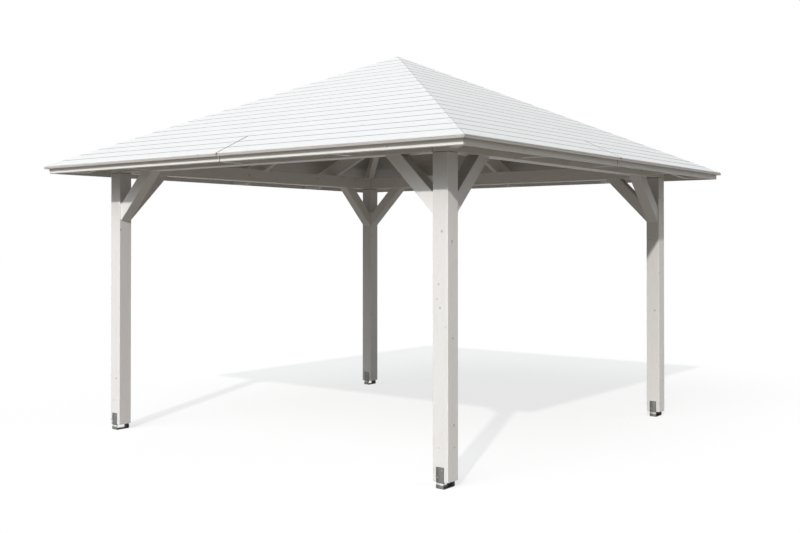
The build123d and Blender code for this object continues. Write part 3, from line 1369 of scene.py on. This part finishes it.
@dataclass
class Studio:
    """A pale floor, one sun lamp, and a soft sky with three broad patches of light."""

    floor_half: float = 60.0
    floor_hex: str = "#827C74"
    floor_shadow: float = 0.32
    floor_glow: float = 0.72
    sun_travel: tuple[float, float, float] = (-0.655, 1.49, -1.0)
    sun_away: float = 4.0
    sun_strength: float = 2.2
    sun_angle: float = math.radians(1.5)
    sun_hex: str = "#FFFCF8"
    sky_hex: str = "#F4F8FB"
    sky_strength: float = 0.2
    glows: tuple[Glow, ...] = (
        Glow(4.7, 40.5, 4.8, 16.6),
        Glow(115.0, 35.0, 0.9, 20.0),
        Glow(15.0, 4.0, 0.2, 6.0),
    )

    def build(self) -> None:
        """Sets up floor, lamp and sky."""
        self._floor()
        self._sun()
        self._sky()

    def _floor(self) -> None:
        """Lays the floor: it looks white to the camera, and still takes the shadow."""
        mesh = bpy.data.meshes.new("studio_floor")
        s = self.floor_half
        mesh.from_pydata([(-s, -s, 0), (s, -s, 0), (s, s, 0), (-s, s, 0)], [], [(0, 1, 2, 3)])
        floor = new_object("studio_floor", mesh)
        material, tree = new_material("matt white studio floor")
        plain = add(tree, "ShaderNodeBsdfDiffuse", {"Color": linear(self.floor_hex)})
        grey = (self.floor_shadow, self.floor_shadow, self.floor_shadow, 1.0)
        faint = add(tree, "ShaderNodeBsdfDiffuse", {"Color": grey})
        glow = add(tree, "ShaderNodeEmission", {"Strength": self.floor_glow})
        seen = add(tree, "ShaderNodeAddShader", (faint, glow))
        mixed = add(tree, "ShaderNodeMixShader", (self._shown(tree), plain, seen))
        add(tree, "ShaderNodeOutputMaterial", {"Surface": mixed})
        mesh.materials.append(material)

    @staticmethod
    def _shown(tree: NodeTree) -> Node:
        """Tells the rays that see the backdrop from those that only gather light.

        Args:
            tree: the tree of the floor or the sky.

        Returns:
            A node that gives 1 for camera, glossy and transmission rays, and 0 otherwise.
        """
        path = add(tree, "ShaderNodeLightPath").outputs
        direct = (path["Is Camera Ray"], path["Is Glossy Ray"])
        either = add(tree, MATH, direct, operation="MAXIMUM")
        return add(tree, MATH, (either, path["Is Transmission Ray"]), operation="MAXIMUM")

    def _sun(self) -> None:
        """Hangs the sun lamp in front of the gazebo, to its right."""
        lamp = bpy.data.lights.new("studio_sun", "SUN")
        lamp.energy = self.sun_strength
        lamp.angle = self.sun_angle
        lamp.color = linear(self.sun_hex)[:3]
        sun = new_object("studio_sun", lamp)
        travel = Vector(self.sun_travel)
        sun.rotation_euler = travel.to_track_quat("-Z", "Y").to_euler()
        sun.location = -self.sun_away * travel

    def _sky(self) -> None:
        """Lights the object softly from the sky's patches and shows plain white behind."""
        world = bpy.data.worlds.new("studio_sky")
        world.use_nodes = True
        tree = world.node_tree
        tree.nodes.clear()
        place = add(tree, "ShaderNodeTexCoord").outputs["Generated"]
        level = self.sky_strength
        for glow in self.glows:
            near = add(tree, VECTOR_MATH, (place, glow.toward), operation="DOT_PRODUCT")
            front = add(tree, MATH, (near.outputs["Value"], 0.0), operation="MAXIMUM")
            tight = add(tree, MATH, (front, glow.power), operation="POWER")
            level = add(tree, MATH, (tight, glow.strength, level), operation="MULTIPLY_ADD")
        sky = {"Color": linear(self.sky_hex), "Strength": level}
        ambient = add(tree, "ShaderNodeBackground", sky)
        white = add(tree, "ShaderNodeBackground", {"Color": (1, 1, 1, 1), "Strength": 1.0})
        mixed = add(tree, "ShaderNodeMixShader", (self._shown(tree), ambient, white))
        add(tree, "ShaderNodeOutputWorld", {"Surface": mixed})
        bpy.context.scene.world = world


@dataclass(frozen=True)
class Viewpoint:
    """The camera: at eye level in front of the right corner."""

    place: tuple[float, float, float] = (5.4255, -7.0636, 1.6011)
    yaw: float = 0.6527
    pitch: float = 0.0086
    sensor: float = 36.0
    lens: float = 45.11
    shift_y: float = -0.0422
    clip_end: float = 500.0

    def build(self) -> None:
        """Adds the camera and makes it the scene's own."""
        data = bpy.data.cameras.new("camera")
        data.sensor_width = self.sensor
        data.lens = self.lens
        data.shift_y = self.shift_y
        data.clip_end = self.clip_end
        camera = new_object("camera", data)
        camera.location = self.place
        camera.rotation_euler = Euler((math.pi / 2 + self.pitch, 0.0, self.yaw))
        bpy.context.scene.camera = camera


def main() -> None:
    """Builds the gazebo's looks in order."""
    logging.basicConfig(level=logging.INFO, format="%(name)s: %(message)s")
    glulam = GlazedSpruce(
        "white-glazed spruce glulam", lamella_mm=40.0, knot_mm=14.0, knot_apart_mm=105.0
    )
    solid = GlazedSpruce("white-glazed planed spruce")
    boards = GlazedSpruce(
        "white-glazed spruce boards", face_hex="#E2E3E4", ring_hex="#DADADA", attribute="grain"
    )
    # Painted shade: the boards' undersides get a darker tone than their faces, for the shade under the
    # roof.
    underside_shade = GlazedSpruce(
        "thinly glazed spruce underside", face_hex="#B4B0AA", ring_hex="#A8A39B", attribute="grain"
    )
    # Painted shade: the V-joints' flanks, tongues and grooves get a darker grey than the face.
    shade = JointShade("greyed glaze in the V-joints")
    end_grain = JointShade("weathered end grain of the boards", base_hex="#5F5A53")
    # Painted shade: the hip's mitre flanks are greyed to draw the shaded line along the hip.
    hip_shade = JointShade("thin glaze on the planed hips", base_hex="#C9CACC")
    glazed = JointShade("nail heads glazed over", base_hex="#D9D7D4")
    zinc = GalvanisedSteel("hot-dip galvanised steel strip")
    # Painted shade: a darker steel for the shoe's inner faces and low edges.
    dull = GalvanisedSteel("hot-dip galvanised steel, dull inside", base_hex="#525351")
    # Painted highlight: a lighter, less metallic steel on the crimp's slope.
    slope_highlight = GalvanisedSteel(
        "hot-dip galvanised steel, rubbed by the press", "#CCCDCA", roughness=0.7, metallic=0.35
    )
    heads = GalvanisedSteel("zinc-plated heads", base_hex="#A5A6A4", spangle_mm=3.0)

    TimberFrame().build(glulam, solid)
    roof = RoofBoarding()
    grain = Vector((1, 0, 0))
    roof.build(
        {
            BoardPart.FACE: boards.material("roof", grain),
            BoardPart.JOINT: shade.material(),
            BoardPart.UNDER: underside_shade.material("roof", grain),
            BoardPart.END: end_grain.material(),
            BoardPart.HIP: hip_shade.material(),
        }
    )
    PostShoes().build(zinc.material(), dull.material(), slope_highlight.material())
    Fixings().build(roof, heads.material(), glazed.material())
    Studio().build()
    Viewpoint().build()
    bpy.context.scene.view_settings.view_transform = "Standard"


if __name__ == "__main__":
    main()
